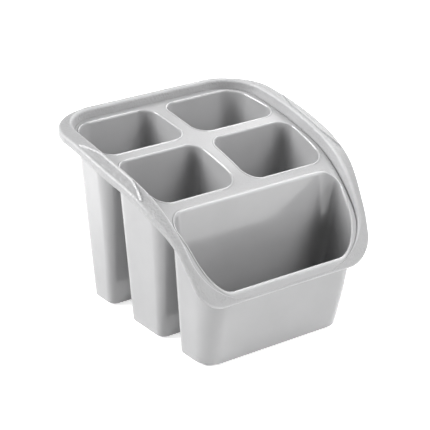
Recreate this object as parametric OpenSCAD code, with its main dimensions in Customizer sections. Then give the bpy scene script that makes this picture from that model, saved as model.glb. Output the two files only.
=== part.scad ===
// Free standing cutlery drainer: five tapered pockets hung from one curved deck.
// Millimetres, +Z up, front (the low, wide pocket) towards -Y, left towards -X.
// Origin on the ground in the middle of the footprint.

/* [Deck] */
// clear width of the deck between the side walls of the rim, at its widest
deck_w = 170; // [160:1:182]
// height of the deck where the back and front curves meet
deck_h = 124; // [115:0.1:133]
// slope of the deck where the two curves meet, degrees
deck_slope = 13.5; // [11.5:0.5:15]
// radius of the nearly level back curve
back_radius = 568; // [500:1:650]
// radius of the falling front curve
front_radius = 114.5; // [110:0.5:125]
// length of the back curve along the sheet, from the bend to the back edge
deck_back = 99; // [94:0.5:105]
// radius of the bowed long sides seen from above
side_radius = 620; // [560:1:700]
// distance of the widest place behind the middle
side_peak = 30.8; // [24:0.1:38]
// radius of the back corners of the deck, measured on the sheet
back_corner = 28.5; // [24:0.5:30]
// radius of the front corners of the deck, measured on the sheet
front_corner = 30; // [24:0.5:32]
// thickness of the deck sheet
deck_t = 2; // [1.6:0.1:2.4]

/* [Pockets] */
// length of a back pocket mouth along the sheet
back_len = 50.6; // [45:0.1:55]
// length of a middle pocket mouth along the sheet
middle_len = 54.5; // [49:0.1:59]
// length of the front pocket mouth along the sheet
front_len = 66.2; // [60:0.1:70]
// strip of deck between two rows of mouths
row_strip = 10.5; // [8:0.1:13]
// strip of deck between the left and right mouths
centre_strip = 11.8; // [9:0.1:15]
// strip of deck between a mouth and the side of the rim
edge_strip = 4.4; // [4:0.1:6]
// strip of deck between the front mouth and the front of the rim
front_strip = 8; // [7.6:0.1:9]
// strip of deck behind the back mouths
back_strip = 6.4; // [5:0.1:9]
// corner radius of a mouth where nothing else is given
mouth_r = 12.5; // [10:0.5:14]
// radius of the outer back corner of a back mouth, which follows the rim
back_mouth_r = 19; // [15:0.5:22]
// radius of the front corners of the front mouth
front_mouth_r = 20.5; // [15:0.5:22]
// wall thickness of a pocket
wall = 2; // [1.6:0.1:2.4]
// how far the lip of a pocket stands above the deck
lip = 0.4; // [0.2:0.1:0.8]
// width of the footprint over the outer pocket walls
base_w = 130; // [122:0.5:138]
// outer corner radius of a small pocket at the ground
base_r = 7; // [6:0.5:9]
// outer corner radius of the front pocket at the ground
front_base_r = 15; // [12:0.5:16]
// lean of the front wall of the front pocket, millimetres per millimetre of height
front_draft = 0.16; // [0.12:0.005:0.18]
// lean of the front walls of the middle and back pockets
row_draft = 0.095; // [0.07:0.005:0.11]
// lean of the back walls of the front and middle pockets
rear_draft = 0.035; // [0.02:0.005:0.06]
// lean of the back walls of the back pockets
end_draft = 0.108; // [0.08:0.002:0.12]
// lean of the walls between the left and right pockets
centre_draft = 0.08; // [0.05:0.005:0.1]
// rounding of the bottom edge
bottom_round = 1.6; // [0.8:0.1:2]

/* [Floors] */
// thickness of a pocket floor
floor_t = 2.4; // [1.8:0.1:3]
// diameter of a drain hole
drain_d = 6; // [4:0.2:7]
// distance from a drain hole centre to the pocket wall
drain_margin = 6.6; // [6:0.2:10]
// least distance between the drain holes of a row, centre to centre
drain_pitch = 10.5; // [9.4:0.1:14]
// least width of floor left between two drain holes, or a hole and a foot
drain_web = 0.8; // [0.6:0.1:1.2]
// height of the small feet under the floors
foot_h = 1; // [0.6:0.1:2]
// diameter of a foot
foot_d = 6; // [4:0.2:7]

/* [Rim] */
// height of the rim above the deck at the back
rim_up_back = 9; // [7.5:0.1:10.5]
// height of the rim above the deck at the sides
rim_up_side = 8.6; // [7.5:0.1:10.5]
// height of the rim above the deck at the front
rim_up_front = 1; // [0.8:0.1:1.6]
// length along the sheet over which the rim rises from the front to the sides
rim_rise = 88.5; // [80:0.5:98]
// outward lean of the rim's inner wall, millimetres per millimetre of height
rim_lean = 0.17; // [0.1:0.01:0.2]
// width of the rim at the sides
rim_side = 12.7; // [11.5:0.1:15]
// width of the rim beside the front pocket
rim_near = 8.1; // [7:0.1:9.5]
// length along the sheet over which the side of the rim narrows to that width
rim_taper = 45; // [38:1:52]
// width of the rim at the back
rim_back = 6.5; // [6.2:0.1:8]
// width of the rim at the front
rim_front = 8.3; // [7.4:0.1:10]
// fall of the rim from its ridge to its outer edge, at the sides and the back
rim_fall = 1.9; // [1.4:0.1:2.6]
// fall of the rim at the front
front_fall = 0.4; // [0.2:0.1:1]
// depth of the rim from its ridge to its lower edge, at the sides and the back
rim_skirt = 6.9; // [6.2:0.1:8]
// depth of the rim at the front
front_skirt = 3.4; // [3.2:0.1:4]
// wall thickness of the rim
rim_t = 1.8; // [1.5:0.1:2]
// rounding of the ridge of the rim
ridge_r = 1.6; // [1:0.1:1.8]
// rounding of the outer edge of the rim
edge_r = 1.8; // [1.2:0.1:2]

/* [Grips] */
// distance of the middle of a grip behind the bend of the deck, on the sheet
grip_mid = 14; // [6:1:22]
// length of a grip
grip_len = 76; // [66:1:84]
// fullness of the leaf shape: above 1 its arc runs along the ridge in the middle
grip_full = 1.35; // [1:0.05:1.5]
// how far the rim bulges out at a grip
grip_bulge = 0.6; // [0.3:0.1:1.5]
// clearance between a grip pad and the rim that carries it
seat_gap = 0.03; // [0.02:0.01:0.1]
// thickness of the raised grip pad
grip_t = 0.7; // [0.5:0.1:1]
// height of a grip rib above its pad
rib_h = 0.5; // [0.3:0.1:0.8]
// number of ribs on a grip
rib_n = 11; // [9:1:13]

/* [Hidden] */
$fn = 32;
s_back = deck_back;
s_b1 = s_back - back_strip;
s_b0 = s_b1 - back_len;
s_m1 = s_b0 - row_strip;
s_m0 = s_m1 - middle_len;
s_f1 = s_m0 - row_strip;
s_f0 = s_f1 - front_len;
s_front = s_f0 - front_strip;
sheet_len = s_back - s_front;
half_w = deck_w / 2;
z_far = 1.3 * deck_h;
far = 1.2 * deck_w;
side_n = 40;
corner_n = 10;
arc_n = 8;
wall_n = 9;

// the curved sheet: slope, place and height at the distance s along it, h above it
function radius_at(s) = s >= 0 ? back_radius : front_radius;
function slope_at(s) = deck_slope - s / radius_at(s) * 180 / PI;
function reach(s, h) = radius_at(s) * (sin(deck_slope) - sin(slope_at(s))) - h * sin(slope_at(s));
function sheet_y(s) = bend_y + reach(s, 0);
function sheet_z(s) = deck_h + radius_at(s) * (cos(slope_at(s)) - cos(deck_slope));
function on_sheet(x, s, h) = [
    x,
    bend_y + reach(s, h),
    sheet_z(s) + h * cos(slope_at(s))
];
function bow(s) = pow(sheet_y(s) - side_peak, 2) / (2 * side_radius);
function half_at(s) = half_w - bow(s);
function clamp01(v) = min(1, max(0, v));
function smooth(v) = v * v * (3 - 2 * v);

// outline of the deck on the right hand side, front to back: [s, inset, nx, ns]
function outline() = concat(
    [for (i = [0 : corner_n - 1])
        let (a = 90 - 90 * i / corner_n)
        [s_front + front_corner * (1 - sin(a)), front_corner * (1 - cos(a)), cos(a), -sin(a)]],
    [for (i = [0 : side_n])
        [s_front + front_corner + (sheet_len - front_corner - back_corner) * i / side_n, 0, 1, 0]],
    [for (i = [1 : corner_n])
        let (a = 90 * i / corner_n)
        [s_back - back_corner * (1 - sin(a)), back_corner * (1 - cos(a)), cos(a), sin(a)]]
);
stations = outline();
last = len(stations) - 1;
function station_x(k) = half_at(stations[k][0]) - stations[k][1];

// width, height, fall and depth of the rim
function mix(a, b, t) = a + (b - a) * t;
function bump(s) = pow(cos(90 * min(1, abs(s - grip_mid) / (grip_len * 0.62))), 2);
function near(s) = smooth(clamp01((s_m0 - s) / rim_taper));
function side_w(s) = mix(rim_side, rim_near, near(s)) + grip_bulge * bump(s);
function rim_w(k) =
    side_w(stations[k][0]) * pow(stations[k][2], 2)
    + (stations[k][3] < 0 ? rim_front : rim_back) * pow(stations[k][3], 2);
function rim_up(s) =
    mix(rim_up_front, rim_up_side, smooth(clamp01((s - s_front) / rim_rise)))
    + (rim_up_back - rim_up_side) * smooth(clamp01((s - s_b0) / (s_back - s_b0)));
function fall_at(s) = mix(rim_fall, front_fall, near(s));
function skirt_at(s) = mix(rim_skirt, front_skirt, near(s));
// a low rim has a tighter ridge
function ridge_at(u) = min(ridge_r, 0.8 * u);

// section of the rim, outward and up, an upside down channel
function rim_section(s, w) =
    let (
        u = rim_up(s),
        r = ridge_at(u),
        fall = fall_at(s),
        skirt = skirt_at(s)
    )
    concat(
        [[0, -deck_t], [0, 0]],
        [for (i = [0 : 3]) [rim_lean * u + r * (1 - cos(30 * i)), u - r * (1 - sin(30 * i))]],
        [for (i = [0 : 3]) [w - edge_r * (1 - sin(30 * i)), u - fall - edge_r * (1 - cos(30 * i))]],
        [[w, u - skirt], [w - rim_t, u - skirt], [w - rim_t, u - fall - rim_t]],
        [[rim_lean * u + rim_t, u - rim_t], [rim_t, -deck_t]]
    );
// the sheet lies so that the rim reaches equally far to the front and to the back
front_section = rim_section(s_front, rim_front);
back_section = rim_section(s_back, rim_back);
front_reach = min([for (q = front_section) reach(s_front - q[0], q[1])]);
back_reach = max([for (q = back_section) reach(s_back + q[0], q[1])]);
bend_y = -(front_reach + back_reach) / 2;

function ring(k, side) =
    let (s = stations[k][0])
    [for (q = rim_section(s, rim_w(k))) on_sheet(
        side * (station_x(k) + stations[k][2] * q[0]),
        s + stations[k][3] * q[0],
        q[1]
    )];

// a closed band of rings, every ring with the same number of points
module band(rings, closed) {
    n = len(rings);
    m = len(rings[0]);
    pts = [for (r = rings) for (p = r) p];
    sides = [for (i = [0 : (closed ? n - 1 : n - 2)]) for (j = [0 : m - 1])
        let (
            a = i * m + j,
            b = i * m + (j + 1) % m,
            c = ((i + 1) % n) * m + (j + 1) % m,
            d = ((i + 1) % n) * m + j
        )
        each [[a, b, c], [a, c, d]]];
    ends = closed ? [] : [[for (j = [m - 1 : -1 : 0]) j], [for (j = [0 : m - 1]) (n - 1) * m + j]];
    polyhedron(pts, concat(sides, ends), convexity = 8);
}

// corner of a pocket: ground place, mouth place, height of the mouth, radii
function corner(bx, by, s, mx, rb, rm, dir) = [bx, by, mx, sheet_y(s) + dir * wall, sheet_z(s), rb, rm];
function mouth_x(s) = half_at(s) - edge_strip + wall;
inner_x = centre_strip / 2 - wall;
function base_in() = inner_x + centre_draft * deck_h;

function small_corners(s0, s1, f0, f1, r_out) =
    let (
        y0 = sheet_y(s0) - wall + f0 * sheet_z(s0),
        y1 = sheet_y(s1) + wall - f1 * sheet_z(s1),
        rm = mouth_r + wall
    )
    [
        corner(base_w / 2, y0, s0, mouth_x(s0), base_r, rm, -1),
        corner(base_w / 2, y1, s1, mouth_x(s1), base_r, r_out + wall, 1),
        corner(base_in(), y1, s1, inner_x, base_r, rm, 1),
        corner(base_in(), y0, s0, inner_x, base_r, rm, -1)
    ];
function front_corners() =
    let (
        y0 = sheet_y(s_f0) - wall + front_draft * sheet_z(s_f0),
        y1 = sheet_y(s_f1) + wall - rear_draft * sheet_z(s_f1),
        rf = front_mouth_r + wall,
        rm = mouth_r + wall
    )
    [
        corner(base_w / 2, y0, s_f0, mouth_x(s_f0), front_base_r, rf, -1),
        corner(base_w / 2, y1, s_f1, mouth_x(s_f1), base_r, rm, 1),
        corner(-base_w / 2, y1, s_f1, -mouth_x(s_f1), base_r, rm, 1),
        corner(-base_w / 2, y0, s_f0, -mouth_x(s_f0), front_base_r, rf, -1)
    ];
back_cup = small_corners(s_b0, s_b1, row_draft, end_draft, back_mouth_r);
middle_cup = small_corners(s_m0, s_m1, row_draft, rear_draft, mouth_r);
front_cup = front_corners();

// outline of a pocket at the height z, shrunk inwards by the amount cut
function centre_of(c) = (c[0] + c[1] + c[2] + c[3]) / 4;
function loop(c, z, cut) =
    let (m = centre_of(c))
    [for (k = [0 : 3]) for (i = [0 : arc_n])
        let (
            f = z / c[k][4],
            r = c[k][5] + (c[k][6] - c[k][5]) * f,
            x = c[k][0] + (c[k][2] - c[k][0]) * f - sign(c[k][0] - m[0]) * r,
            y = c[k][1] + (c[k][3] - c[k][1]) * f - sign(c[k][1] - m[1]) * r,
            a = -90 + 90 * k + 90 * i / arc_n
        )
        [x + (r - cut) * cos(a), y + (r - cut) * sin(a), z]];
function wall_loops(c, z, cut) = [for (i = [0 : wall_n]) loop(c, z_far + (z - z_far) * i / wall_n, cut)];

module cup_outside(c) {
    band(concat(wall_loops(c, foot_h + bottom_round, 0), [loop(c, foot_h, bottom_round)]), false);
}
module cup_inside(c) {
    band(wall_loops(c, foot_h, wall), false);
}
// everything that lies lower than the height h above the sheet
module below_sheet(h) {
    n = 48;
    s0 = s_front - 2 * rim_side;
    s1 = s_back + 2 * rim_side;
    top = [for (i = [0 : n])
        let (p = on_sheet(0, s0 + (s1 - s0) * i / n, h))
        [p[1], p[2]]];
    rotate([90, 0, 90])
        linear_extrude(height = 2 * far, center = true)
            polygon(concat(top, [[top[n][0], -foot_h], [top[0][0], -foot_h]]));
}
module cup(c) {
    color([0.82, 0.82, 0.83])
        intersection() {
            difference() {
                cup_outside(c);
                cup_inside(c);
                translate([-far, -far, foot_h - far])
                    cube([2 * far, 2 * far, far]);
            }
            below_sheet(lip);
        }
}
module cup_floor(c) {
    xs = [for (k = c) k[0]];
    ys = [for (k = c) k[1]];
    x0 = min(xs) + wall + drain_margin;
    x1 = max(xs) - wall - drain_margin;
    y0 = min(ys) + wall + drain_margin;
    y1 = max(ys) - wall - drain_margin;
    nx = floor((x1 - x0) / drain_pitch);
    ny = y1 - y0 > drain_d + drain_web ? 1 : 0;
    dx = (x1 - x0) / nx;
    foot_w = min(foot_d, dx - drain_d - drain_web);
    color([0.8, 0.8, 0.81])
        union() {
            difference() {
                intersection() {
                    cup_inside(c);
                    translate([-far, -far, foot_h])
                        cube([2 * far, 2 * far, floor_t]);
                }
                for (i = [0 : nx])
                    for (j = [0 : ny])
                        translate([x0 + dx * i, ny == 0 ? (y0 + y1) / 2 : y0 + (y1 - y0) * j, foot_h - 1])
                            cylinder(d = drain_d, h = floor_t + 2);
            }
            for (i = [0.5, nx - 0.5])
                for (y = [y0, y1])
                    translate([x0 + dx * i, y, 0])
                        cylinder(d = foot_w, h = foot_h + floor_t / 2);
        }
}

module deck() {
    color([0.84, 0.84, 0.85])
        difference() {
            band([for (k = [0 : last])
                let (s = stations[k][0], x = station_x(k))
                [on_sheet(x, s, -deck_t), on_sheet(x, s, 0), on_sheet(-x, s, 0), on_sheet(-x, s, -deck_t)]
            ], false);
            cup_outside(front_cup);
            cup_outside(middle_cup);
            cup_outside(back_cup);
            mirror([1, 0, 0])
                cup_outside(middle_cup);
            mirror([1, 0, 0])
                cup_outside(back_cup);
        }
}
// the rim gives way to the front pocket wherever their sizes make them meet
module rim() {
    color([0.82, 0.82, 0.83])
        difference() {
            band(concat(
                [for (k = [0 : last]) ring(k, 1)],
                [for (k = [last : -1 : 0]) ring(k, -1)]
            ), true);
            cup_outside(front_cup);
        }
}
module grip_shape() {
    n = rib_n * 4 + 8;
    m = 6;
    len2 = grip_len / 2;
    rows = [for (i = [0 : n])
        let (
            v = -0.97 + 1.94 * i / n,
            s = grip_mid + v * len2,
            u = rim_up(s),
            fall = fall_at(s),
            ridge_a = rim_lean * u + ridge_at(u),
            a1 = side_w(s) - edge_r,
            a0 = max(ridge_a + 0.4, a1 - 0.8 - grip_full * (a1 - ridge_a) * (1 - v * v)),
            k = i - 4,
            rib = (k >= 0 && k < rib_n * 4 && (k % 4 == 1 || k % 4 == 2)) ? rib_h : 0,
            drop = fall / (a1 - ridge_a)
        )
        concat(
            [for (j = [0 : m])
                let (a = a0 + (a1 - a0) * j / m, e = (j == 0 || j == m) ? 0 : 1)
                on_sheet(half_at(s) + a, s, u - (a - ridge_a) * drop + grip_t * (0.3 + 0.7 * e) + rib * e)],
            [
                on_sheet(half_at(s) + a1, s, u - fall + seat_gap),
                on_sheet(half_at(s) + a0, s, u - (a0 - ridge_a) * drop + seat_gap)
            ]
        )];
    band(rows, false);
}

module cup_back_left() mirror([1, 0, 0]) cup(back_cup);
module cup_back_right() cup(back_cup);
module cup_middle_left() mirror([1, 0, 0]) cup(middle_cup);
module cup_middle_right() cup(middle_cup);
module cup_front() cup(front_cup);
module floor_back_left() mirror([1, 0, 0]) cup_floor(back_cup);
module floor_back_right() cup_floor(back_cup);
module floor_middle_left() mirror([1, 0, 0]) cup_floor(middle_cup);
module floor_middle_right() cup_floor(middle_cup);
module floor_front() cup_floor(front_cup);
module grip_right() color([0.8, 0.8, 0.81]) grip_shape();
module grip_left() color([0.8, 0.8, 0.81]) mirror([1, 0, 0]) grip_shape();

// which sub-part to build, or all of them
deck();
rim();
cup_back_left();
cup_back_right();
cup_middle_left();
cup_middle_right();
cup_front();
floor_back_left();
floor_back_right();
floor_middle_left();
floor_middle_right();
floor_front();
grip_left();
grip_right();
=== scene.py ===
import bpy
import bmesh
import math
import numpy as np
from mathutils import Matrix, Vector


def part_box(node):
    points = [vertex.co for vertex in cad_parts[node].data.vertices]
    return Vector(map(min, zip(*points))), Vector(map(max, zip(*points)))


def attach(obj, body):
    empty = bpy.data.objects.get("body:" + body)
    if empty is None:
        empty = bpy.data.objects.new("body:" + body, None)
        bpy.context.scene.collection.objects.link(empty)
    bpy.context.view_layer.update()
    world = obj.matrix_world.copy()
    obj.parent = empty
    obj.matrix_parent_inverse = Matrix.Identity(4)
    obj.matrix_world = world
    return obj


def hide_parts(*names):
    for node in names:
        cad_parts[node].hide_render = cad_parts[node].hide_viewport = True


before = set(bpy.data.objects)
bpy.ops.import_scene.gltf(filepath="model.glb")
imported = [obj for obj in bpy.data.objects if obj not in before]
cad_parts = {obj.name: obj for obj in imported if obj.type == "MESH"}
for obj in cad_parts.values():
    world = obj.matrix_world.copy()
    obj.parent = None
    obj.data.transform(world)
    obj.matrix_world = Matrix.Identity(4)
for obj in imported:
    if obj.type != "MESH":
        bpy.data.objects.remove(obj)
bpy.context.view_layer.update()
scene = bpy.context.scene
print("frame loaded:", len(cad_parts), "nodes")

# lengths below are millimetres, and meshes are written in metres
toMetres = 0.001
weldGap = 2e-6      # metres

# the curved sheet that the deck, the rim and the pocket mouths share
sheet = {
    "halfWidth": 85.0,
    "height": 124.0,        # where the two curves meet
    "slope": 13.5,          # degrees, there
    "backRadius": 568.0,
    "frontRadius": 114.5,
    "bendY": -11.119,
    "backEnd": 99.0,        # distances along the sheet from the meeting line
    "frontEnd": -107.7,
    "backCorner": 28.5,
    "frontCorner": 38.0,
    "sideRadius": 620.0,    # bow of the long sides seen from above
    "sidePeak": 30.8,
    "thickness": 2.0,
}
startSlope = math.radians(sheet["slope"])
backEnd, frontEnd = sheet["backEnd"], sheet["frontEnd"]
mirrorX = np.array([-1.0, 1.0, 1.0])


# two tangent arcs: the slope falls by distance over radius, y and z come from its sine and cosine,
# and h is measured along the normal
def onSheet(x, s, h):
    radius = np.where(s >= 0, sheet["backRadius"], sheet["frontRadius"])
    slope = startSlope - s / radius
    y = sheet["bendY"] + radius * (math.sin(startSlope) - np.sin(slope)) - h * np.sin(slope)
    z = sheet["height"] + radius * (np.cos(slope) - math.cos(startSlope)) + h * np.cos(slope)
    return np.stack(np.broadcast_arrays(x, y, z), -1)


# the same arcs read backwards: the slope is the arcsine of the distance from the arc's centre
# over its radius
def sheetBelow(y, h):
    onBack = y >= sheet["bendY"] - h * math.sin(startSlope)
    radius = np.where(onBack, sheet["backRadius"], sheet["frontRadius"])
    slope = np.arcsin((sheet["bendY"] + radius * math.sin(startSlope) - y) / (radius + h))
    z = sheet["height"] - radius * math.cos(startSlope) + (radius + h) * np.cos(slope)
    return (startSlope - slope) * radius, z


# half width of the deck: the widest half less a parabola in y
def halfAt(s):
    y = onSheet(0.0, s, 0.0)[..., 1]
    return sheet["halfWidth"] - (y - sheet["sidePeak"]) ** 2 / (2 * sheet["sideRadius"])


# from 0 to 1, level at both ends: three squares less two cubes
def smoothStep(v):
    v = np.clip(v, 0, 1)
    return v * v * (3 - 2 * v)


# quads of a grid of points, row by row, with either direction closed on itself
def gridFaces(rows, columns, closeRows, closeColumns):
    i = np.arange(rows if closeRows else rows - 1)[:, None]
    j = np.arange(columns if closeColumns else columns - 1)[None, :]
    nextI, nextJ = (i + 1) % rows, (j + 1) % columns
    quads = np.stack(np.broadcast_arrays(
        i * columns + j, i * columns + nextJ, nextI * columns + nextJ, nextI * columns + j), -1)
    return quads.reshape(-1, 4)


# puts points and faces into a mesh, welds what meets, turns all faces outwards and shades it smooth;
# its fourth argument is the share of painted highlight at each point, on lips, beads and rounded edges
def makePiece(name, points, faces, paintedLight, sharpAngle, slotName, *nodes):
    mesh = bpy.data.meshes.new(name)
    mesh.from_pydata(np.asarray(points).reshape(-1, 3) * toMetres, [], np.asarray(faces).tolist())
    paintedLightLayer = mesh.attributes.new("paintedHighlight", "FLOAT", "POINT")
    perPoint = np.broadcast_to(paintedLight, np.shape(points)[:-1]).ravel()
    paintedLightLayer.data.foreach_set("value", perPoint.astype(np.float32))
    work = bmesh.new()
    work.from_mesh(mesh)
    bmesh.ops.remove_doubles(work, verts=work.verts, dist=weldGap)
    bmesh.ops.recalc_face_normals(work, faces=work.faces)
    work.to_mesh(mesh)
    work.free()
    mesh.shade_smooth()
    mesh.set_sharp_from_angle(angle=math.radians(sharpAngle))
    piece = bpy.data.objects.new(name, mesh)
    scene.collection.objects.link(piece)
    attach(piece, "root")
    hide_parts(*nodes)
    print("made", name, "with", len(mesh.polygons), "faces")
    return piece


# materials

# sRGB to linear: the standard power curve with a straight foot
def linearColour(hexText):
    srgb = np.array([int(hexText[i:i + 2], 16) for i in (1, 3, 5)]) / 255
    linear = np.where(srgb <= 0.04045, srgb / 12.92, ((srgb + 0.055) / 1.055) ** 2.4)
    return (*linear.tolist(), 1.0)


# one node: plain settings are attributes, the others fill sockets, links name the sockets they feed
def addNode(tree, kind, settings=None, sockets=None, links=None):
    node = tree.nodes.new(kind)
    for key, value in (settings or {}).items():
        setattr(node, key, value)
    for key, value in (sockets or {}).items():
        node.inputs[key].default_value = value
    for key, source in (links or {}).items():
        tree.links.new(source, node.inputs[key])
    return node


plastic = {
    "ior": 1.49,
    "stippleDetail": 2.0, "stippleRoughness": 0.5,
    "cloudDetail": 3.0, "cloudRoughness": 0.55,
    "cloudLow": 0.3, "cloudHigh": 0.7,      # the part of the noise that is spread over the two colours
    # the lighter grey of the painted highlight on edges
    "highlightHex": "#e2e2e3",
}


# Injection moulded polypropylene: a waxy, slightly translucent grey plastic. The mould leaves a fine
# stipple that breaks up the highlight, and cloudy patches of gloss where it cooled unevenly.
# Real mould stipple is about 0.15 mm; it is drawn coarser so that it shows at all.
# Lips, beads and rounded edges are mixed towards a lighter grey by a per-point attribute, a painted
# highlight; the rim's inner wall takes the same mix as painted light.
def mouldedPolypropylene(name, look):
    material = bpy.data.materials.new(name)
    material.use_nodes = True
    tree = material.node_tree
    tree.nodes.clear()
    place = addNode(tree, "ShaderNodeTexCoord").outputs["Object"]
    stipple = addNode(
        tree, "ShaderNodeTexNoise", {"noise_dimensions": "3D"},
        {"Scale": 1000 / look["stippleMm"], "Detail": plastic["stippleDetail"],
         "Roughness": plastic["stippleRoughness"]}, {"Vector": place})
    clouds = addNode(
        tree, "ShaderNodeTexNoise", {"noise_dimensions": "3D"},
        {"Scale": 1000 / look["cloudMm"], "Detail": plastic["cloudDetail"],
         "Roughness": plastic["cloudRoughness"]}, {"Vector": place})
    ramp = addNode(tree, "ShaderNodeValToRGB", links={"Fac": clouds.outputs["Fac"]})
    ramp.color_ramp.elements[0].position = plastic["cloudLow"]
    ramp.color_ramp.elements[0].color = linearColour(look["darkHex"])
    ramp.color_ramp.elements[1].position = plastic["cloudHigh"]
    ramp.color_ramp.elements[1].color = linearColour(look["lightHex"])
    # painted highlight: a per-point attribute mixes the colour towards the lighter grey on lips, beads and
    # rounded edges
    edges = addNode(tree, "ShaderNodeAttribute", {"attribute_name": "paintedHighlight"})
    highlightShare = addNode(tree, "ShaderNodeMath", {"operation": "MULTIPLY"}, {1: look["highlightPaint"]},
                        {0: edges.outputs["Fac"]})
    mixFactor, mixFirst, mixSecond, mixResult = 0, 6, 7, 2      # sockets of a colour mix
    colour = addNode(tree, "ShaderNodeMix", {"data_type": "RGBA"},
                     {mixSecond: linearColour(plastic["highlightHex"])},
                     {mixFactor: highlightShare.outputs[0], mixFirst: ramp.outputs["Color"]})
    gloss = addNode(
        tree, "ShaderNodeMapRange", {},
        {"From Min": plastic["cloudLow"], "From Max": plastic["cloudHigh"],
         "To Min": look["roughness"] - look["roughSpread"],
         "To Max": look["roughness"] + look["roughSpread"]}, {"Value": clouds.outputs["Fac"]})
    bump = addNode(
        tree, "ShaderNodeBump", {},
        {"Strength": look["stippleStrength"], "Distance": look["stippleDepthMm"] * toMetres},
        {"Height": stipple.outputs["Fac"]})
    shader = addNode(
        tree, "ShaderNodeBsdfPrincipled", {},
        {"IOR": plastic["ior"], "Specular IOR Level": look["specular"]},
        {"Base Color": colour.outputs[mixResult], "Roughness": gloss.outputs["Result"],
         "Normal": bump.outputs["Normal"]})
    addNode(tree, "ShaderNodeOutputMaterial", links={"Surface": shader.outputs["BSDF"]})
    return material


finishes = {
    "pocket": {
        "darkHex": "#aeaeaf", "lightHex": "#b3b3b4", "highlightPaint": 0.4,
        "roughness": 0.15, "roughSpread": 0.015, "specular": 0.9, "cloudMm": 30.0,
        "stippleMm": 0.9, "stippleDepthMm": 0.03, "stippleStrength": 0.06},
    "deck": {
        "darkHex": "#aeaeaf", "lightHex": "#b2b2b3", "highlightPaint": 0.0,
        "roughness": 0.33, "roughSpread": 0.015, "specular": 0.6, "cloudMm": 22.0,
        "stippleMm": 1.4, "stippleDepthMm": 0.25, "stippleStrength": 0.7},
    "rim": {
        "darkHex": "#acacad", "lightHex": "#b1b1b2", "highlightPaint": 0.45,
        "roughness": 0.33, "roughSpread": 0.02, "specular": 0.6, "cloudMm": 18.0,
        "stippleMm": 1.7, "stippleDepthMm": 0.6, "stippleStrength": 1.0},
    "grip": {
        "darkHex": "#a9a9aa", "lightHex": "#b4b4b5", "highlightPaint": 0.5,
        "roughness": 0.36, "roughSpread": 0.05, "specular": 0.6, "cloudMm": 7.0,
        "stippleMm": 1.9, "stippleDepthMm": 0.5, "stippleStrength": 0.9},
    "floor": {
        "darkHex": "#acacad", "lightHex": "#b2b2b3", "highlightPaint": 0.0,
        "roughness": 0.4, "roughSpread": 0.04, "specular": 0.5, "cloudMm": 20.0,
        "stippleMm": 0.9, "stippleDepthMm": 0.05, "stippleStrength": 0.2},
}
pocketPlastic = mouldedPolypropylene("glossMouldedPolypropylene", finishes["pocket"])
deckPlastic = mouldedPolypropylene("satinMouldedPolypropylene", finishes["deck"])
rimPlastic = mouldedPolypropylene("stippledPolypropyleneRim", finishes["rim"])
gripPlastic = mouldedPolypropylene("stippledPolypropyleneGrip", finishes["grip"])
floorPlastic = mouldedPolypropylene("satinPolypropyleneFloor", finishes["floor"])
print("materials ready")


# pockets

pocket = {
    "wall": 2.0,
    "lipUp": 0.5,           # the bead stands this far above the deck
    "beadAt": 0.45,         # where it is highest, as a share of the wall from outside
    "lipDrop": 1.5,         # depth at which the rounded lip has become the inner wall
    "footGap": 1.0,
    "bottomRound": 1.6,
    "floorTop": 3.4,
    "floorFillet": 2.5,
    "floorSink": 0.6,       # the inner wall ends this far below the floor's top
    "outerGrowth": [3.0, 1.0, 1.0, 3.0],    # the front corners stay tight outside until near the mouth
    "baseHalf": 65.0,
    "edgeStrip": 4.4,
    "centreStrip": 11.8,
    "centreLean": 0.08,
    "backRow": {"from": 42.0, "to": 92.6, "frontLean": 0.095, "backLean": 0.108,
                "baseRadii": [7.0, 7.0, 7.0, 7.0], "mouthRadii": [12.5, 19.0, 12.5, 12.5]},
    "middleRow": {"from": -23.0, "to": 31.5, "frontLean": 0.095, "backLean": 0.035,
                  "baseRadii": [7.0, 7.0, 7.0, 7.0], "mouthRadii": [12.5, 12.5, 12.5, 12.5]},
    "frontRow": {"from": -99.7, "to": -33.5, "frontLean": 0.16, "backLean": 0.035,
                 "baseRadii": [15.0, 7.0, 7.0, 15.0], "mouthRadii": [20.5, 12.5, 12.5, 20.5]},
    "arcSteps": 16, "sideSteps": 12, "roundSteps": 6, "wallSteps": 10, "beadSteps": 5, "lipSteps": 8,
    "settleSteps": 40,
    "sharpAngle": 50,
}


# four corners, outer front first and anticlockwise: ground x and y, mouth x and y, mouth height,
# radius at the ground and at the mouth
def pocketCorners(row, isFront):
    s = np.array([row["from"], row["to"], row["to"], row["from"]])
    towards = np.array([-1.0, 1.0, 1.0, -1.0])
    lean = np.array([row["frontLean"], row["backLean"], row["backLean"], row["frontLean"]])
    place = onSheet(0.0, s, 0.0)
    mouthY, mouthZ = place[:, 1] + towards * pocket["wall"], place[:, 2]
    outerX = halfAt(s) - pocket["edgeStrip"] + pocket["wall"]
    innerX = pocket["centreStrip"] / 2 - pocket["wall"]
    baseInner = innerX + pocket["centreLean"] * sheet["height"]
    isOuter = np.array([True, True, False, False])
    mouthX = np.where(isOuter, outerX, -outerX if isFront else innerX)
    baseX = np.where(isOuter, pocket["baseHalf"], -pocket["baseHalf"] if isFront else baseInner)
    baseY = mouthY - towards * lean * mouthZ
    mouthRadii = np.array(row["mouthRadii"]) + pocket["wall"]
    return np.stack([baseX, baseY, mouthX, mouthY, mouthZ, row["baseRadii"], mouthRadii], -1)


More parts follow.
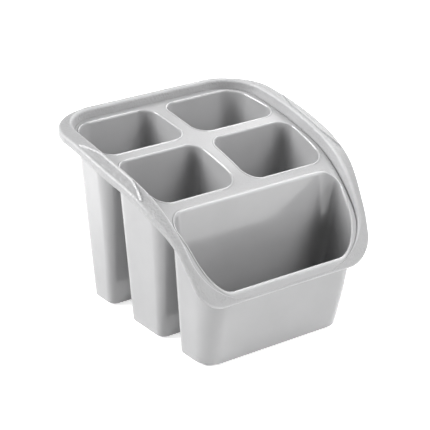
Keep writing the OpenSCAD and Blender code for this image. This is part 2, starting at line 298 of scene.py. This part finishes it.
# the outline as a list of mixes of two corners: arcs take one corner at a turning angle, and sides run
# from the end of one arc to the start of the next; it starts in the middle of the first arc
def outlinePlan(sideSteps):
    first, second, share, angle = [], [], [], []
    arc = pocket["arcSteps"]
    for k in range(4):
        first += [k] * (arc + sideSteps[k])
        second += [k] * (arc + 1) + [(k + 1) % 4] * (sideSteps[k] - 1)
        share += [0.0] * (arc + 1) + (np.arange(1, sideSteps[k]) / sideSteps[k]).tolist()
        angle += (-90 + 90 * k + 90 * np.arange(arc + 1) / arc).tolist() + [90.0 * k] * (sideSteps[k] - 1)
    turned = [np.roll(np.array(v), -(arc // 2)) for v in (first, second, share, np.radians(angle))]
    return {"first": turned[0], "second": turned[1], "share": turned[2], "angle": turned[3]}


# a corner's place grows in a straight line with height, and so does its radius, but by a power of height
# up to the mouth outside at the front; cut shrinks the corner circle and is a whole wall or more inside
def cornerPoint(corners, k, angle, z, cut):
    c = corners[k]
    f = z / c[..., 4]
    growth = np.array(pocket["outerGrowth"])[k] if cut < pocket["wall"] else 1.0
    share = np.clip(f, 0, 1) ** growth + np.maximum(f - 1, 0)
    radius = c[..., 5] + (c[..., 6] - c[..., 5]) * share
    middle = corners[:, :2].mean(0)
    x = c[..., 0] + (c[..., 2] - c[..., 0]) * f - np.sign(c[..., 0] - middle[0]) * radius
    y = c[..., 1] + (c[..., 3] - c[..., 1]) * f - np.sign(c[..., 1] - middle[1]) * radius
    return np.stack(np.broadcast_arrays(
        x + (radius - cut) * np.cos(angle), y + (radius - cut) * np.sin(angle), z), -1)


# a point of the outline at a height: the mix of its two corner points
def outlineAt(corners, plan, z, cut):
    a = cornerPoint(corners, plan["first"], plan["angle"], z, cut)
    b = cornerPoint(corners, plan["second"], plan["angle"], z, cut)
    return a + (b - a) * plan["share"][:, None]


# where the wall meets the surface h above the sheet: the height is read off the sheet until it settles
def wallOnSheet(corners, plan, h, cut):
    z = corners[plan["first"], 4] * (1 - plan["share"]) + corners[plan["second"], 4] * plan["share"]
    for _ in range(pocket["settleSteps"]):
        z = sheetBelow(outlineAt(corners, plan, z, cut)[:, 1], h)[1]
    return z


# profile carried round the outline: rounded foot, outer wall, beaded lip, inner wall and a fillet to the
# floor; the lip is a smooth step up to the bead and a quadratic curve from there into the inner wall, and
# a painted highlight on it rises with the step and falls along the curve
def pocketSurface(corners, plan):
    wall, foot, footRound = pocket["wall"], pocket["footGap"], pocket["bottomRound"]
    fillet, floorTop = pocket["floorFillet"], pocket["floorTop"]
    level = np.ones(len(plan["share"]))
    quarter = np.radians(np.linspace(0, 90, pocket["roundSteps"] + 1))
    upWall = np.linspace(0, 1, pocket["wallSteps"] + 1)[1:]
    rows = [outlineAt(corners, plan, foot * level, wall)]
    for a in quarter:
        z = (foot + footRound * (1 - math.cos(a))) * level
        rows.append(outlineAt(corners, plan, z, footRound * (1 - math.sin(a))))
    top = wallOnSheet(corners, plan, 0.0, 0.0)
    for f in upWall:
        rows.append(outlineAt(corners, plan, foot + footRound + (top - foot - footRound) * f, 0.0))
    outer = outlineAt(corners, plan, top, 0.0)
    inner = outlineAt(corners, plan, wallOnSheet(corners, plan, 0.0, wall), wall)
    outerS = sheetBelow(outer[:, 1], 0.0)[0]
    innerS = sheetBelow(inner[:, 1], 0.0)[0]
    paintedLight = [0.0] * len(rows)
    for u in np.linspace(0, pocket["beadAt"], pocket["beadSteps"] + 1)[1:]:
        step = smoothStep(u / pocket["beadAt"])
        x = outer[:, 0] + (inner[:, 0] - outer[:, 0]) * u
        rows.append(onSheet(x, outerS + (innerS - outerS) * u, pocket["lipUp"] * step))
        paintedLight.append(float(step))
    bead = rows[-1]
    turn = outlineAt(corners, plan, wallOnSheet(corners, plan, pocket["lipUp"], wall), wall)
    low = wallOnSheet(corners, plan, -pocket["lipDrop"], wall)
    end = outlineAt(corners, plan, low, wall)
    for q in np.linspace(0, 1, pocket["lipSteps"] + 1)[1:]:
        rows.append((1 - q) ** 2 * bead + 2 * q * (1 - q) * turn + q * q * end)
        paintedLight.append(float(1 - smoothStep(q)))
    for f in upWall:
        rows.append(outlineAt(corners, plan, low + (floorTop + fillet - low) * f, wall))
    for a in quarter[1:]:
        z = (floorTop + fillet * (1 - math.sin(a))) * level
        rows.append(outlineAt(corners, plan, z, wall + fillet * (1 - math.cos(a))))
    rows.append(outlineAt(corners, plan, (floorTop - pocket["floorSink"]) * level, wall + fillet))
    paintedLight += [0.0] * (len(rows) - len(paintedLight))
    return np.stack(rows), np.array(paintedLight)[:, None]


# the front pocket is as wide as two, so its long sides take the points of two outlines
perSide = pocket["arcSteps"] + pocket["sideSteps"]
frontSide = 2 * perSide - pocket["arcSteps"]
smallPlan = outlinePlan([pocket["sideSteps"]] * 4)
frontPlan = outlinePlan([pocket["sideSteps"], frontSide, pocket["sideSteps"], frontSide])
smallCounts = [perSide] * 4
frontCounts = [perSide, 2 * perSide, perSide, 2 * perSide]
backCorners = pocketCorners(pocket["backRow"], False)
middleCorners = pocketCorners(pocket["middleRow"], False)
frontCorners = pocketCorners(pocket["frontRow"], True)

for name, corners, plan, flip in (
    ("cup_back_right", backCorners, smallPlan, False),
    ("cup_back_left", backCorners, smallPlan, True),
    ("cup_middle_right", middleCorners, smallPlan, False),
    ("cup_middle_left", middleCorners, smallPlan, True),
    ("cup_front", frontCorners, frontPlan, False),
):
    points, paintedLight = pocketSurface(corners, plan)
    faces = gridFaces(*points.shape[:2], True, True)
    points = points * mirrorX if flip else points
    pieceName = name.replace("cup", "pocket")
    piece = makePiece(pieceName, points, faces, paintedLight, pocket["sharpAngle"], "pocket", name)
    piece.data.materials.append(pocketPlastic)


# deck

deck = {
    "ringSteps": 6,
    "rowLines": [36.75, -28.25],    # where the deck is divided between the rows
    "linePoints": 60, "sidePoints": 240, "arcPoints": 40,
    "sharpAngle": 40,
}


# edge of the deck from the front corner's middle to the back corner's middle, on the right: along the side
# the half width, in the rounded corners the half width less an arc
def deckEdge(s):
    backRound, frontRound = sheet["backCorner"], sheet["frontCorner"]
    backIn = np.clip(s - (backEnd - backRound), 0, backRound)
    frontIn = np.clip((frontEnd + frontRound) - s, 0, frontRound)
    inset = (backRound - np.sqrt(backRound ** 2 - backIn ** 2)
             + frontRound - np.sqrt(frontRound ** 2 - frontIn ** 2))
    return halfAt(s) - inset


# points spread evenly along a line of x and s
def spread(x, s, steps):
    run = np.concatenate([[0], np.cumsum(np.hypot(np.diff(x), np.diff(s)))])
    at = np.linspace(0, run[-1], steps + 1)[:-1]
    return np.stack([np.interp(at, run, x), np.interp(at, run, s)], -1)


# border of a deck cell, starting at its outer front corner and going round with the pocket's outline
def cellBorder(sides, steps):
    return np.concatenate([spread(x, s, n) for (x, s), n in zip(sides, steps)])


# ring between the pocket's outer wall and the cell's border, mixed in x and s and laid on the sheet,
# over the underside, up the wall and over the top
def deckCell(corners, plan, border):
    levels = np.linspace(0, 1, deck["ringSteps"] + 1)[:, None, None]
    sides = []
    for h in (-sheet["thickness"], 0.0):
        mouth = outlineAt(corners, plan, wallOnSheet(corners, plan, h, 0.0), 0.0)
        mouthXs = np.stack([mouth[:, 0], sheetBelow(mouth[:, 1], h)[0]], -1)
        ring = mouthXs + (border - mouthXs) * levels
        sides.append(onSheet(ring[..., 0], ring[..., 1], h))
    return np.concatenate([sides[0][::-1], sides[1]])


# a straight line in x and s
def lineOf(x0, s0, x1, s1):
    return np.linspace(x0, x1, deck["linePoints"]), np.linspace(s0, s1, deck["linePoints"])


# the right side of the deck between two distances along the sheet
def sideLine(s0, s1):
    s = np.linspace(s0, s1, deck["sidePoints"])
    return deckEdge(s), s


# a rounded corner from its middle to the front or back edge: a circle's sine along, its cosine across
def cornerArc(radius, endS, towards):
    a = np.radians(np.linspace(45, 90, deck["arcPoints"]))
    s = endS - towards * radius * (1 - np.sin(a))
    return halfAt(s) - radius * (1 - np.cos(a)), s


# lines end to end
def joinLines(*lines):
    return np.concatenate([line[0] for line in lines]), np.concatenate([line[1] for line in lines])


upperLine, lowerLine = deck["rowLines"]
halfUpper, halfLower = float(halfAt(np.array(upperLine))), float(halfAt(np.array(lowerLine)))
backMid = backEnd - sheet["backCorner"] * (1 - math.sqrt(0.5))
frontMid = frontEnd + sheet["frontCorner"] * (1 - math.sqrt(0.5))
backArc = cornerArc(sheet["backCorner"], backEnd, 1)
backEdge = joinLines(backArc, lineOf(backArc[0][-1], backEnd, 0.0, backEnd))
frontArc = cornerArc(sheet["frontCorner"], frontEnd, -1)
frontEdgeRight = joinLines(lineOf(0.0, frontEnd, frontArc[0][-1], frontEnd), [v[::-1] for v in frontArc])
frontEdge = joinLines([-frontEdgeRight[0][::-1], frontEdgeRight[1][::-1]], frontEdgeRight)
frontRightSide = sideLine(frontMid, lowerLine)
frontLeftSide = [-frontRightSide[0][::-1], frontRightSide[1][::-1]]

backBorder = cellBorder([
    sideLine(upperLine, backMid), backEdge,
    lineOf(0.0, backEnd, 0.0, upperLine), lineOf(0.0, upperLine, halfUpper, upperLine)], smallCounts)
middleBorder = cellBorder([
    sideLine(lowerLine, upperLine), lineOf(halfUpper, upperLine, 0.0, upperLine),
    lineOf(0.0, upperLine, 0.0, lowerLine), lineOf(0.0, lowerLine, halfLower, lowerLine)], smallCounts)
frontBorder = cellBorder([
    frontRightSide, lineOf(halfLower, lowerLine, -halfLower, lowerLine),
    frontLeftSide, frontEdge], frontCounts)

# a cell is closed by a wall on the sides that are the deck's own edge, and its others meet the next cells
deckPoints, deckFaces, used = [], [], 0
for corners, plan, border, counts, flip, openSides in (
    (backCorners, smallPlan, backBorder, smallCounts, False, [0, 1]),
    (backCorners, smallPlan, backBorder, smallCounts, True, [0, 1]),
    (middleCorners, smallPlan, middleBorder, smallCounts, False, [0]),
    (middleCorners, smallPlan, middleBorder, smallCounts, True, [0]),
    (frontCorners, frontPlan, frontBorder, frontCounts, False, [0, 2, 3]),
):
    cell = deckCell(corners, plan, border)
    rowCount, columns = cell.shape[:2]
    starts = np.cumsum([0] + counts)
    edge = np.concatenate([np.arange(starts[k], starts[k + 1]) for k in openSides])
    lastRow = (rowCount - 1) * columns
    nextEdge = (edge + 1) % columns
    wallFaces = np.stack([lastRow + edge, lastRow + nextEdge, nextEdge, edge], -1)
    faces = np.concatenate([gridFaces(rowCount, columns, False, True), wallFaces])
    deckPoints.append((cell * mirrorX if flip else cell).reshape(-1, 3))
    deckFaces.append((faces[:, ::-1] if flip else faces) + used)
    used += rowCount * columns
deckPiece = makePiece("deckSheet", np.concatenate(deckPoints), np.concatenate(deckFaces), 0.0,
                      deck["sharpAngle"], "deck", "deck")
deckPiece.data.materials.append(deckPlastic)


# rim and grips

rim = {
    "upBack": 7.6, "upSide": 8.6, "upFront": 1.0,
    "flushFront": 0.25,                     # what is left of the ridge along the front edge
    "riseLength": 88.5, "backFrom": 42.0,
    "groove": 0.7, "grooveDepth": 0.8, "grooveFull": 4.0,   # the crease at the foot of the inner wall
    # the inner wall's lean, and the painted light on it
    "lean": 0.17, "wallPaintedLight": 0.6,
    "widthSide": 13.1, "widthNear": 8.4, "widthBack": 8.0, "widthFront": 2.4,
    "taperFrom": -23.0, "taper": 45.0,
    "outerCorner": 21.0, "trim": 2.6, "trimFrom": -68.0, "trimLength": 28.0,
    "fall": 1.9, "fallFront": 0.4,
    "depth": 7.6, "depthFront": 3.4,
    "thickness": 1.8,
    "ridgeRound": 2.6, "ridgeBack": 2.9, "ridgeShare": 0.8,     # the share of a low ridge that is round
    "edgeRound": 1.8, "footRound": 0.5,
    "cornerSteps": 44, "sideSteps": 180, "endSteps": 16, "roundSteps": 8, "flangeSteps": 8,
    "sharpAngle": 40,
}
grip = {
    "middle": 17.0, "length": 76.0, "ends": 0.985,      # the leaf stops a little short of its points
    "bulge": 0.9, "drop": 0.8, "swellReach": 0.62,      # how the rim swells round the grip
    "full": 1.1, "innerGap": 0.4, "outerGap": 0.8,
    "pad": 0.55, "padRise": 0.5, "padFall": 2.5,
    "bead": 0.9, "beadWidth": 1.4, "beadIn": 0.9, "beadRise": 0.4,
    "ribs": 11, "ribHeight": 0.3, "ribIn": 1.6, "ribFade": 1.2,
    "lift": 0.05, "sink": 0.3,                          # top above the flange and underside below it
    "alongSteps": 260, "acrossSteps": 28,
    "sharpAngle": 45,
}


# swelling of the rim at a grip: a squared cosine of the distance from the grip's middle
def gripSwell(s):
    reach = np.minimum(1, np.abs(s - grip["middle"]) / (grip["length"] * grip["swellReach"]))
    return np.cos(np.pi / 2 * reach) ** 2


# height of the ridge over the deck: smooth steps from the front to the sides and from there to the back
def rimUp(s):
    rise = smoothStep((s - frontEnd) / rim["riseLength"])
    behind = smoothStep((s - rim["backFrom"]) / (backEnd - rim["backFrom"]))
    sides = rim["upFront"] + (rim["upSide"] - rim["upFront"]) * rise
    return sides + (rim["upBack"] - rim["upSide"]) * behind


# the rim narrows and flattens by a smooth step beside the front pocket
def nearFront(s):
    return smoothStep((rim["taperFrom"] - s) / rim["taper"])


# width along the side: that step, a second one towards the front corner, and the swelling at the grip
def sideWidth(s):
    trim = rim["trim"] * smoothStep((rim["trimFrom"] - s) / rim["trimLength"])
    near = (rim["widthNear"] - rim["widthSide"]) * nearFront(s)
    return rim["widthSide"] + near - trim + grip["bulge"] * gripSwell(s)


# fall of the flange from the ridge to its edge, by the same step
def rimFall(s):
    return rim["fall"] + (rim["fallFront"] - rim["fall"]) * nearFront(s)


# stations on the right from the middle of the front to the middle of the back: distance, x, outward
# direction; the corners are arcs, and the ends run straight to the middle
def rimStations():
    frontRound, backRound = sheet["frontCorner"], sheet["backCorner"]
    turn = np.radians(np.linspace(90, 0, rim["cornerSteps"] + 1))[:-1]
    turnBack = np.radians(np.linspace(0, 90, rim["cornerSteps"] + 1))[1:]
    along = np.linspace(frontEnd + frontRound, backEnd - backRound, rim["sideSteps"] + 1)
    s = np.concatenate([frontEnd + frontRound * (1 - np.sin(turn)), along,
                        backEnd - backRound * (1 - np.sin(turnBack))])
    inset = np.concatenate([frontRound * (1 - np.cos(turn)), 0 * along, backRound * (1 - np.cos(turnBack))])
    outX = np.concatenate([np.cos(turn), 0 * along + 1, np.cos(turnBack)])
    outS = np.concatenate([-np.sin(turn), 0 * along, np.sin(turnBack)])
    x = halfAt(s) - inset
    mix = (np.arange(rim["endSteps"]) + 0.5) / rim["endSteps"]
    frontX, backX = x[0] * mix, x[-1] * mix[::-1]
    zero = 0 * mix
    return (np.concatenate([zero + s[0], s, zero + s[-1]]), np.concatenate([frontX, x, backX]),
            np.concatenate([zero, outX, zero]), np.concatenate([zero - 1, outS, zero + 1]))


# section of the rim as outward and up: inner wall, quarter round ridge, falling flange, quarter round edge,
# skirt with a rounded foot, and the inside a wall thickness behind where there is room for it; the two
# rounds carry a painted highlight in their middles, the inner wall carries painted light, and the crease
# and that painted light on the wall fade out towards the back
def rimSection(up, width, fall, depth, behind):
    quarter = np.radians(np.linspace(0, 90, rim["roundSteps"] + 1))
    half = np.radians(np.linspace(0, 180, rim["roundSteps"] + 1))
    flange = np.linspace(0, 1, rim["flangeSteps"] + 1)[None, 1:-1]
    ridge = rim["ridgeRound"] + (rim["ridgeBack"] - rim["ridgeRound"]) * behind
    ridge = np.minimum(ridge, rim["ridgeShare"] * up)[:, None]
    crease = (np.clip((up - rim["upFront"]) / rim["grooveFull"], 0, 1) * (1 - behind))[:, None]
    wallPaintedLight = rim["wallPaintedLight"] * (1 - behind)[:, None]
    up, width, fall, depth = (v[:, None] for v in (up, width, fall, depth))
    lean, thick, edge, foot = rim["lean"], rim["thickness"], rim["edgeRound"], rim["footRound"]
    one = np.ones_like(up)
    flangeStart, flangeEnd = lean * up + ridge, width - edge
    base = width - thick / 2
    room = np.clip((width - lean * up - 2 * thick) / thick, 0, 1)
    grooveOut, grooveLow = rim["groove"] * crease, -rim["grooveDepth"] * crease
    out = [0 * one, 0 * one, grooveOut, grooveOut,
           lean * up + ridge * (1 - np.cos(quarter)),
           flangeStart + (flangeEnd - flangeStart) * flange,
           width - edge * (1 - np.sin(quarter)),
           base + thick / 2 * np.cos(half),
           width - thick * one, np.minimum(lean * up + thick, width - thick),
           np.minimum(thick, width - thick)]
    height = [-sheet["thickness"] * one, grooveLow, grooveLow, 0 * one,
              up - ridge * (1 - np.sin(quarter)),
              up - fall * flange,
              up - fall - edge * (1 - np.cos(quarter)),
              up - depth + foot - foot * np.sin(half),
              up - fall - thick, up - thick - fall * (1 - room),
              -sheet["thickness"] * one]
    # painted highlight on the two rounds, painted light on the inner wall
    paintedLight = [0 * one, 0 * one, 0 * one, wallPaintedLight,
            np.maximum(np.sin(2 * quarter), wallPaintedLight * np.cos(quarter)),
            0 * one * flange,
            one * np.sin(2 * quarter),
            0 * one * half,
            0 * one, 0 * one,
            0 * one]
    return np.concatenate(out, 1), np.concatenate(height, 1), np.concatenate(paintedLight, 1)


# width of the rim round a front corner: a ray from the corner's centre runs to the side line, the front
# line or the arc that joins the two
def frontReach(side, across, forward):
    inner, bend = sheet["frontCorner"], rim["outerCorner"]
    tiny = 1e-6     # keeps the divisions from zero
    across, forward = np.maximum(across, tiny), np.maximum(forward, tiny)
    sideAt, frontAt = inner + side, inner + rim["widthFront"]
    arcAcross, arcForward = sideAt - bend, frontAt - bend
    middle = across * arcAcross + forward * arcForward
    arc = middle + np.sqrt(np.maximum(0, middle ** 2 + bend ** 2 - arcAcross ** 2 - arcForward ** 2))
    straight = np.minimum(sideAt / across, frontAt / forward)
    onSide = sideAt * forward <= arcForward * across
    onFront = frontAt * across <= arcAcross * forward
    return np.where(onSide | onFront, straight, arc) - inner


s, x, outX, outS = rimStations()
ahead, behind = np.where(outS < 0, outS, 0) ** 2, np.where(outS > 0, outS, 0) ** 2
width = np.where(outS > 0, sideWidth(s) * outX ** 2 + rim["widthBack"] * outS ** 2,
                 frontReach(sideWidth(s), outX, -outS))
depth = rim["depth"] + (rim["depthFront"] - rim["depth"]) * nearFront(s)
depth = depth + grip["drop"] * gripSwell(s) * outX ** 2
dip = (rim["upFront"] - rim["flushFront"]) * ahead
out, height, paintedLight = rimSection(rimUp(s) - dip, width, rimFall(s), depth - dip, behind)
rightRings = onSheet(x[:, None] + outX[:, None] * out, s[:, None] + outS[:, None] * out, height)
rings = np.concatenate([rightRings, (rightRings * mirrorX)[::-1]])
ringPaintedLight = np.concatenate([paintedLight, paintedLight[::-1]])
ringFaces = gridFaces(*rings.shape[:2], True, True)
rimPiece = makePiece("rimFlange", rings, ringFaces, ringPaintedLight, rim["sharpAngle"], "rim", "rim")
rimPiece.data.materials.append(rimPlastic)


# leaf shaped pad on the flange: across it runs from an inner arc to the outer edge, along it the arc closes
# as a parabola; a bead follows the arc and low cosine ribs cross the pad and fade at its border
def gripSurface():
    v = np.linspace(-grip["ends"], grip["ends"], grip["alongSteps"] + 1)[:, None]
    t = np.linspace(0, 1, grip["acrossSteps"] + 1)[None, :]
    s = grip["middle"] + v * grip["length"] / 2
    up = rimUp(s)
    ridge = rim["lean"] * up + rim["ridgeRound"]
    outer = sideWidth(s) - rim["edgeRound"]
    leaf = outer - grip["outerGap"] - grip["full"] * (outer - ridge) * (1 - v * v)
    inner = np.maximum(ridge + grip["innerGap"], leaf)
    a = inner + (outer - inner) * t
    base = up - (a - ridge) * rimFall(s) / (outer - ridge)
    fromInner, fromOuter = a - inner, outer - a
    body = smoothStep(fromInner / grip["padRise"]) * smoothStep(fromOuter / grip["padFall"])
    beadShape = np.exp(-((fromInner - grip["beadIn"]) / (0.5 * grip["beadWidth"])) ** 2)
    beadShape = beadShape * smoothStep(fromInner / grip["beadRise"])
    fade = smoothStep((fromInner - grip["ribIn"]) / grip["ribFade"])
    fade = fade * smoothStep(fromOuter / grip["ribFade"])
    ribs = grip["ribHeight"] * (0.5 - 0.5 * np.cos(2 * np.pi * grip["ribs"] * (v + 1) / 2)) * fade
    padTop, beadTop = (grip["pad"] + ribs) * body, grip["bead"] * beadShape
    top = onSheet(halfAt(s) + a, s, base + grip["lift"] + padTop + beadTop)
    under = onSheet(halfAt(s) + a, s, base - grip["sink"])
    return top, under, beadShape


# top and underside make one loop round the pad, and a row of quads closes each end
top, under, beadShape = gripSurface()
loop = np.concatenate([top, under[:, ::-1]], 1)
# the bead's crest takes a painted highlight, the underside none
loopPaintedLight = np.concatenate([beadShape, 0 * beadShape], 1)
rows, count = loop.shape[:2]
j = np.arange(grip["acrossSteps"])
endQuads = np.stack([j, j + 1, count - 2 - j, count - 1 - j], -1)
gripFaces = np.concatenate([gridFaces(rows, count, False, True), endQuads, endQuads + (rows - 1) * count])
for name, flip in (("grip_right", False), ("grip_left", True)):
    points = loop * mirrorX if flip else loop
    pieceName = name.replace("grip", "gripPad")
    piece = makePiece(pieceName, points, gripFaces, loopPaintedLight, grip["sharpAngle"], "grip", name)
    piece.data.materials.append(gripPlastic)

# the drained floors keep their solids and take the satin plastic
floorRows = [["floor_back_left", "floor_back_right"], ["floor_middle_left", "floor_middle_right"],
             ["floor_front"]]
for row in floorRows:
    for node in row:
        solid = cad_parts[node]
        solid.data.materials.clear()
        solid.data.materials.append(floorPlastic)
print("floors finished")


# floor, light and camera

# the paper glows a little so that it looks white: more far away, where the lamps don't reach, and hardly
# under the drainer, a painted shadow there that also keeps the glow from shining up through the holes;
# metres
stage = {"size": 6.0, "floorHex": "#f4f4f4", "lift": 0.7, "farLift": 1.0, "far": (0.4, 1.6),
         "underLift": 0.1, "underEdge": 0.006}
corner = stage["size"] / 2
floorMesh = bpy.data.meshes.new("studioFloor")
floorMesh.from_pydata(
    [(-corner, -corner, 0), (corner, -corner, 0), (corner, corner, 0), (-corner, corner, 0)],
    [], [(0, 1, 2, 3)])
floor = bpy.data.objects.new("studioFloor", floorMesh)
scene.collection.objects.link(floor)
floorPaper = bpy.data.materials.new("matteWhitePaper")
floorPaper.use_nodes = True
tree = floorPaper.node_tree
tree.nodes.clear()
rays = addNode(tree, "ShaderNodeLightPath").outputs
paper = addNode(tree, "ShaderNodeBsdfDiffuse", sockets={"Color": linearColour(stage["floorHex"])})
ground = addNode(tree, "ShaderNodeTexCoord").outputs["Object"]
away = addNode(tree, "ShaderNodeVectorMath", {"operation": "LENGTH"}, links={0: ground})
lift = addNode(tree, "ShaderNodeMapRange", {"interpolation_type": "SMOOTHSTEP"},
               {"From Min": stage["far"][0], "From Max": stage["far"][1], "To Min": stage["lift"],
                "To Max": stage["farLift"]}, {"Value": away.outputs["Value"]})
# under each row of pockets the glow is cut, a painted shadow: how far a point lies beyond the row's box
# decides its share of the glow
for row in floorRows:
    left, right = row[0], row[-1]
    low, high = Vector(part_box(left)[0]), Vector(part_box(right)[1])
    middle, half = (low + high) / 2, (high - low) / 2
    fromMiddle = addNode(tree, "ShaderNodeVectorMath", {"operation": "SUBTRACT"}, {1: middle}, {0: ground})
    apart = addNode(tree, "ShaderNodeVectorMath", {"operation": "ABSOLUTE"},
                    links={0: fromMiddle.outputs["Vector"]})
    beyond = addNode(tree, "ShaderNodeVectorMath", {"operation": "SUBTRACT"}, {1: half},
                     {0: apart.outputs["Vector"]})
    past = addNode(tree, "ShaderNodeSeparateXYZ", links={0: beyond.outputs["Vector"]})
    most = addNode(tree, "ShaderNodeMath", {"operation": "MAXIMUM"},
                   links={0: past.outputs["X"], 1: past.outputs["Y"]})
    openShare = addNode(tree, "ShaderNodeMapRange", {"interpolation_type": "SMOOTHSTEP"},
                        {"From Min": -stage["underEdge"], "From Max": 0.0, "To Min": stage["underLift"]},
                        {"Value": most.outputs[0]})
    lift = addNode(tree, "ShaderNodeMath", {"operation": "MULTIPLY"},
                   links={0: lift.outputs[0], 1: openShare.outputs[0]})
glow = addNode(tree, "ShaderNodeEmission", sockets={"Color": (1, 1, 1, 1)},
               links={"Strength": lift.outputs[0]})
seen = addNode(tree, "ShaderNodeMath", {"operation": "MAXIMUM"},
               links={0: rays["Is Camera Ray"], 1: rays["Is Glossy Ray"]})
lifted = addNode(tree, "ShaderNodeAddShader", links={0: paper.outputs[0], 1: glow.outputs[0]})
chosen = addNode(tree, "ShaderNodeMixShader",
                 links={0: seen.outputs[0], 1: paper.outputs[0], 2: lifted.outputs[0]})
addNode(tree, "ShaderNodeOutputMaterial", links={"Surface": chosen.outputs[0]})
floorMesh.materials.append(floorPaper)

# the room looks white behind the drainer, a little white in reflections, and gives no other light
studio = {"mirrored": 0.1}
world = bpy.data.worlds.new("studio")
scene.world = world
world.use_nodes = True
tree = world.node_tree
tree.nodes.clear()
rays = addNode(tree, "ShaderNodeLightPath").outputs
white = addNode(tree, "ShaderNodeBackground", sockets={"Color": (1, 1, 1, 1), "Strength": 1.0})
mirrored = addNode(tree, "ShaderNodeMath", {"operation": "MULTIPLY"}, {1: studio["mirrored"]},
                   {0: rays["Is Glossy Ray"]})
seen = addNode(tree, "ShaderNodeMath", {"operation": "MAXIMUM"},
               links={0: rays["Is Camera Ray"], 1: mirrored.outputs[0]})
chosen = addNode(tree, "ShaderNodeMixShader", links={0: seen.outputs[0], 2: white.outputs[0]})
addNode(tree, "ShaderNodeOutputWorld", links={"Surface": chosen.outputs[0]})


# unit vector towards an azimuth from the front and an elevation, in degrees
def direction(azimuth, elevation):
    az, el = math.radians(azimuth), math.radians(elevation)
    return Vector((math.sin(az) * math.cos(el), -math.cos(az) * math.cos(el), math.sin(el)))


# soft boxes: azimuth, elevation and distance of each, its side in metres and its power in watts
softBoxes = {
    "keyBox": {"azimuth": -120, "elevation": 32, "distance": 2.6, "side": 1.3, "watts": 79},
    "fillBox": {"azimuth": 60, "elevation": 58, "distance": 1.6, "side": 0.8, "watts": 15.5},
    "backBox": {"azimuth": 120, "elevation": 32, "distance": 1.6, "side": 0.8, "watts": 9},
    "frontBox": {"azimuth": 30, "elevation": 32, "distance": 1.6, "side": 0.8, "watts": 6.5},
    "lowBox": {"azimuth": 30, "elevation": 8, "distance": 1.6, "side": 0.8, "watts": 5.5},
}
aim = Vector((0, 0, 0.08))      # metres, about the middle of the drainer
for name, box in softBoxes.items():
    lamp = bpy.data.lights.new(name, "AREA")
    lamp.shape = "RECTANGLE"
    lamp.size = box["side"]
    lamp.size_y = box["side"]
    lamp.energy = box["watts"]
    towards = direction(box["azimuth"], box["elevation"])
    lampObject = bpy.data.objects.new(name, lamp)
    scene.collection.objects.link(lampObject)
    lampObject.location = aim + towards * box["distance"]
    lampObject.rotation_euler = towards.to_track_quat("Z", "Y").to_euler()

# the photograph's view: direction, slight roll, distance and focal length in pixels of a square frame
view = {
    "azimuth": -38.3572, "elevation": 24.5466, "roll": 2.2259, "distance": 1383.45,
    "target": (-0.0195, 0.2534, 77.0433),
    "focalPixels": 1831.12, "framePixels": 430.0, "sensor": 36.0,
    "clip": (0.05, 50.0),       # metres
}
back = direction(view["azimuth"], view["elevation"])
right = Vector((0, 0, 1)).cross(back).normalized()
upward = back.cross(right)
roll = math.radians(view["roll"])
turnedRight = right * math.cos(roll) + upward * math.sin(roll)
turnedUp = upward * math.cos(roll) - right * math.sin(roll)
place = (Vector(view["target"]) + back * view["distance"]) * toMetres
lens = bpy.data.cameras.new("camera")
lens.sensor_width = view["sensor"]
lens.lens = view["focalPixels"] * view["sensor"] / view["framePixels"]
lens.clip_start, lens.clip_end = view["clip"]
camera = bpy.data.objects.new("camera", lens)
scene.collection.objects.link(camera)
camera.matrix_world = Matrix((
    (turnedRight.x, turnedUp.x, back.x, place.x),
    (turnedRight.y, turnedUp.y, back.y, place.y),
    (turnedRight.z, turnedUp.z, back.z, place.z),
    (0, 0, 0, 1)))
scene.camera = camera
scene.view_settings.view_transform = "Standard"
print("stage, lamps and camera ready")
